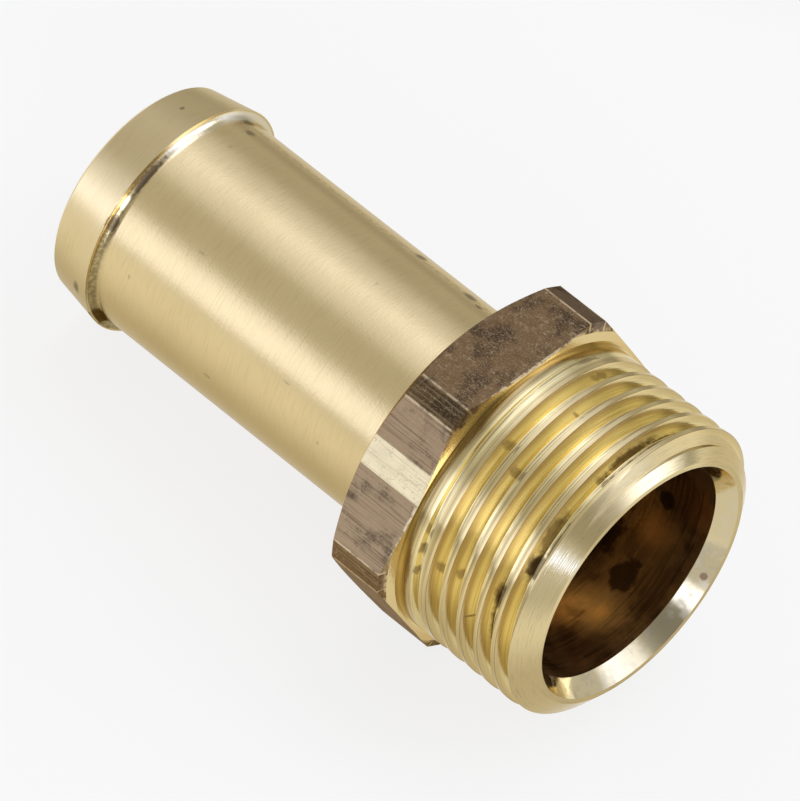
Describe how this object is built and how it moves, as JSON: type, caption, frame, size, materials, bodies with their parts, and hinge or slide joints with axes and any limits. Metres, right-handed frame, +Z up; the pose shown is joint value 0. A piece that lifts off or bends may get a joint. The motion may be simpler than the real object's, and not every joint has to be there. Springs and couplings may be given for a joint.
{
  "type": "hose barb tail",
  "caption": "Brass hose barb tail: a parallel pipe thread with a conical seat, a bevelled wrench hexagon and a plain shank ending in a barbed hose end.",
  "frame": {"origin": "centre of the bounding box in X and Y, at the level of the floor the part rests on", "axes": "+Z up; the bore axis lies in the XZ plane and leaves the thread end along +X, raised by the 5.9 degrees at which the part rests on one wrench flat's edge and the barb's ridge"},
  "size_m": [0.0708, 0.0378, 0.0356],
  "materials": {
    "brass": "turned and brushed"
  },
  "bodies": {
    "root": {"hose_tail": "brass"}
  },
  "joints": []
}
